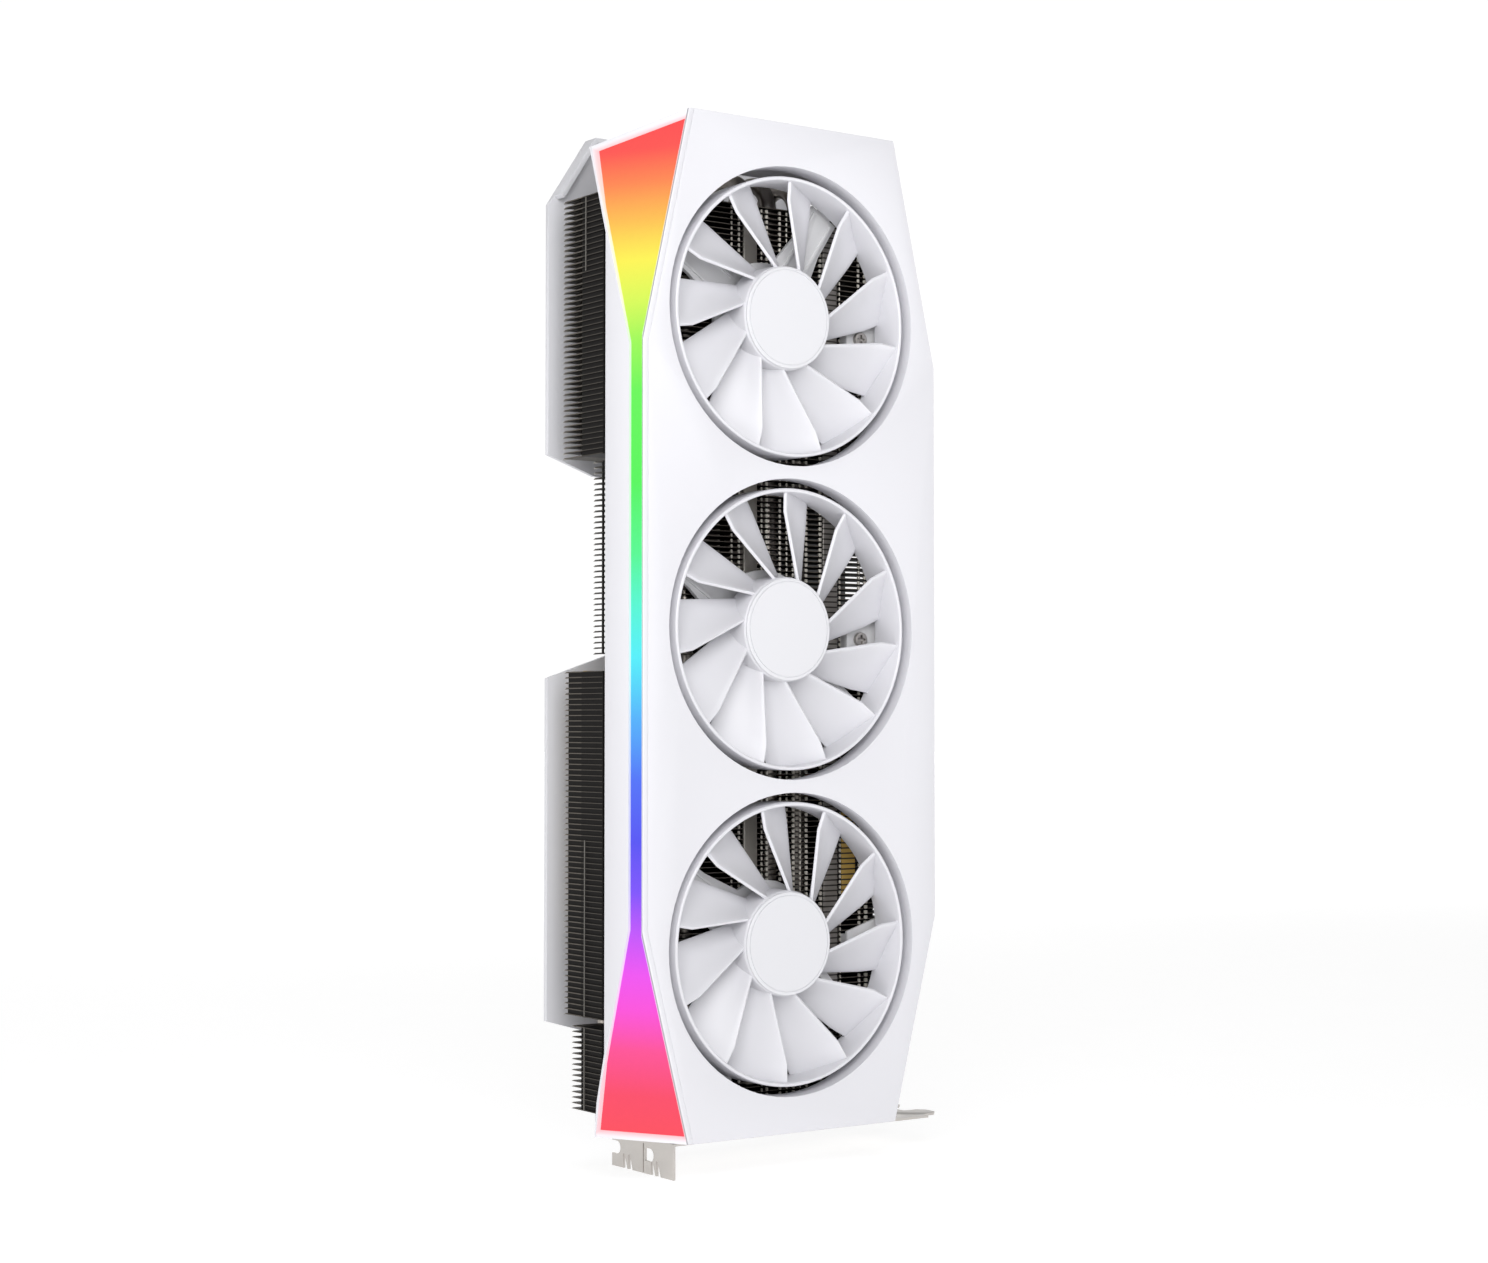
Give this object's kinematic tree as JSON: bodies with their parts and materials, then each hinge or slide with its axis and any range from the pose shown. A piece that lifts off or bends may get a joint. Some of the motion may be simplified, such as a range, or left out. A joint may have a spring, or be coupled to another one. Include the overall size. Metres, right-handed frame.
{
  "type": "graphics card",
  "caption": "Upright graphics card with ringed fans in a white shroud, a lit side bar, fin stacks on heat pipes, power sockets and a slot bracket.",
  "frame": {"origin": "on the outer face of the slot bracket, midway across its two slots and on the centre line of the shroud", "axes": "+Z along the card from the bracket to the tail, -Y out of the fan side, +X towards the slot edge contacts"},
  "size_m": [0.149, 0.07, 0.3627],
  "materials": {
    "shroud_white": "smooth white painted plastic, fine satin",
    "trim_white": "milky white translucent plastic",
    "light_lens": "milky lens lit from behind, rainbow along its length",
    "fan_white": "satin white plastic",
    "cap_white": "smooth white disc",
    "frame_grey": "light grey plastic",
    "bracket_grey": "light grey painted metal",
    "screw_steel": "machined steel",
    "standoff_brass": "turned brass",
    "stator_dark": "dark laminations and varnished wire",
    "fin_nickel": "thin plated sheet",
    "pipe_nickel": "nickel plated tube",
    "copper": "milled copper block",
    "plate_grey": "anodised plate",
    "board_dark": "dark solder mask",
    "contact_gold": "gold plated contacts",
    "chip_dark": "moulded package",
    "die_glossy": "polished silicon",
    "pad_grey": "soft pad",
    "coil_grey": "pressed ferrite block",
    "can_metal": "drawn can",
    "socket_black": "moulded socket",
    "backplate_white": "white painted sheet",
    "brace_steel": "spring steel",
    "bracket_nickel": "nickel plated sheet steel",
    "port_steel": "plated shell"
  },
  "bodies": {
    "card": {"shroud": "shroud_white", "light_frame": "trim_white", "light_lens": "light_lens", "light_strip": "board_dark", "fan_screws": "screw_steel", "shroud_brackets": "bracket_grey", "shroud_bracket_screws": "screw_steel", "fins_bracket_end": "fin_nickel", "fins_core": "fin_nickel", "fins_power": "fin_nickel", "fins_tail": "fin_nickel", "heat_pipes": "pipe_nickel", "cold_plate": "copper", "memory_plate": "plate_grey", "circuit_board": "board_dark", "edge_contacts": "contact_gold", "chip_package": "chip_dark", "chip_die": "die_glossy", "memory_chips": "chip_dark", "thermal_pads": "pad_grey", "inductors": "coil_grey", "power_stages": "chip_dark", "capacitors": "can_metal", "power_socket_1": "socket_black", "power_socket_2": "socket_black", "power_socket_3": "socket_black", "power_pins": "contact_gold", "backplate": "backplate_white", "board_standoffs": "standoff_brass", "backplate_screws": "screw_steel", "spring_brace": "brace_steel", "brace_screws": "screw_steel", "slot_bracket": "bracket_nickel", "display_ports": "port_steel", "hdmi_port": "port_steel", "port_tongues": "socket_black", "bracket_screws": "screw_steel", "fan_bearing_bracket_end": "standoff_brass", "fan_stator_bracket_end": "stator_dark", "fan_frame_bracket_end": "frame_grey", "fan_bearing_middle": "standoff_brass", "fan_stator_middle": "stator_dark", "fan_frame_middle": "frame_grey", "fan_bearing_tail": "standoff_brass", "fan_stator_tail": "stator_dark", "fan_frame_tail": "frame_grey"},
    "fan_bracket_end": {"fan_rotor_bracket_end": "fan_white", "hub_cap_bracket_end": "cap_white", "fan_shaft_bracket_end": "screw_steel"},
    "fan_middle": {"fan_rotor_middle": "fan_white", "hub_cap_middle": "cap_white", "fan_shaft_middle": "screw_steel"},
    "fan_tail": {"fan_rotor_tail": "fan_white", "hub_cap_tail": "cap_white", "fan_shaft_tail": "screw_steel"}
  },
  "joints": [
    {"name": "fan_spin_bracket_end", "type": "hinge", "parent": "card", "child": "fan_bracket_end", "pos_m": [0, -0.03535, 0.0687], "axis": [0, -1, 0], "continuous": true},
    {"name": "fan_spin_middle", "type": "hinge", "parent": "card", "child": "fan_middle", "pos_m": [0, -0.03535, 0.176], "axis": [0, -1, 0], "continuous": true},
    {"name": "fan_spin_tail", "type": "hinge", "parent": "card", "child": "fan_tail", "pos_m": [0, -0.03535, 0.2833], "axis": [0, -1, 0], "continuous": true}
  ]
}
